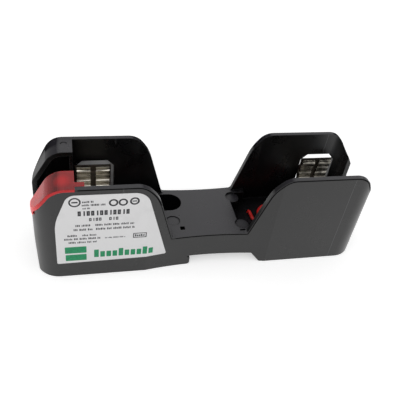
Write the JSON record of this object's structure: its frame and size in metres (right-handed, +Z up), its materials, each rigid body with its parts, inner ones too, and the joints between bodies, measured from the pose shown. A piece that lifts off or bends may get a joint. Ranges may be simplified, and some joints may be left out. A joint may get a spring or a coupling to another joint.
{
  "type": "din rail fuse block",
  "caption": "Open fuse block with two U-shaped end housings on a waisted base, spring-backed fuse clips, box lugs, a red indicator cover and a rail latch.",
  "frame": {"origin": "middle of the underside of the base, on the plane of its two feet", "axes": "+X along the block from the indicator end to the plain end, -Y towards the labelled front, +Z up away from the rail"},
  "size_m": [0.1774, 0.0422, 0.0584],
  "materials": {
    "moulding": "black moulded thermoplastic, faint satin texture",
    "clip_metal": "tin-plated copper alloy, rolled, slightly worn",
    "spring_steel": "plain spring steel",
    "lug_metal": "tin-plated aluminium, machined",
    "screw_steel": "zinc-plated steel",
    "tag_metal": "tin-plated brass",
    "red_cover": "see-through red plastic",
    "board": "green circuit board",
    "lamp": "clear red resin",
    "resistor": "lacquered body with colour bands",
    "lead_red": "red soft insulation",
    "latch_plastic": "black moulded plastic",
    "label_paper": "white satin label"
  },
  "bodies": {
    "housing": {"base": "moulding", "left_clip": "clip_metal", "right_clip": "clip_metal", "left_clip_spring": "spring_steel", "right_clip_spring": "spring_steel", "left_lug": "lug_metal", "right_lug": "lug_metal", "clip_screws": "screw_steel", "lead_tags": "tag_metal", "rejection_plate": "screw_steel", "indicator_cover": "red_cover", "indicator_board": "board", "indicator_lamp": "lamp", "indicator_resistor": "resistor", "long_lead": "lead_red", "short_lead": "lead_red", "latch_spring": "spring_steel", "front_label": "label_paper", "rear_label": "label_paper"},
    "rail_latch": {"rail_latch": "latch_plastic"},
    "left_pad": {"left_pressure_pad": "screw_steel"},
    "left_screw": {"left_lug_screw": "screw_steel"},
    "right_pad": {"right_pressure_pad": "screw_steel"},
    "right_screw": {"right_lug_screw": "screw_steel"}
  },
  "joints": [
    {"name": "rail_latch_slide", "type": "slide", "parent": "housing", "child": "rail_latch", "axis": [1, 0, 0], "range_m": [0, 0.0035], "stiffness_N_per_m": 800, "springref_m": -0.004, "deforming": ["latch_spring"]},
    {"name": "left_pad_slide", "type": "slide", "parent": "housing", "child": "left_pad", "axis": [0, 0, -1], "range_m": [0, 0.0055]},
    {"name": "left_screw_turn", "type": "hinge", "parent": "left_pad", "child": "left_screw", "pos_m": [-0.0781, 0, 0.035], "axis": [0, 0, -1], "range_deg": [0, 1584]},
    {"name": "right_pad_slide", "type": "slide", "parent": "housing", "child": "right_pad", "axis": [0, 0, -1], "range_m": [0, 0.0055]},
    {"name": "right_screw_turn", "type": "hinge", "parent": "right_pad", "child": "right_screw", "pos_m": [0.0805, 0, 0.035], "axis": [0, 0, -1], "range_deg": [0, 1584]}
  ],
  "couplings": [
    {"joint": "left_screw_turn", "follows": "left_pad_slide", "rad_per_m": 5026.5},
    {"joint": "right_screw_turn", "follows": "right_pad_slide", "rad_per_m": 5026.5}
  ]
}
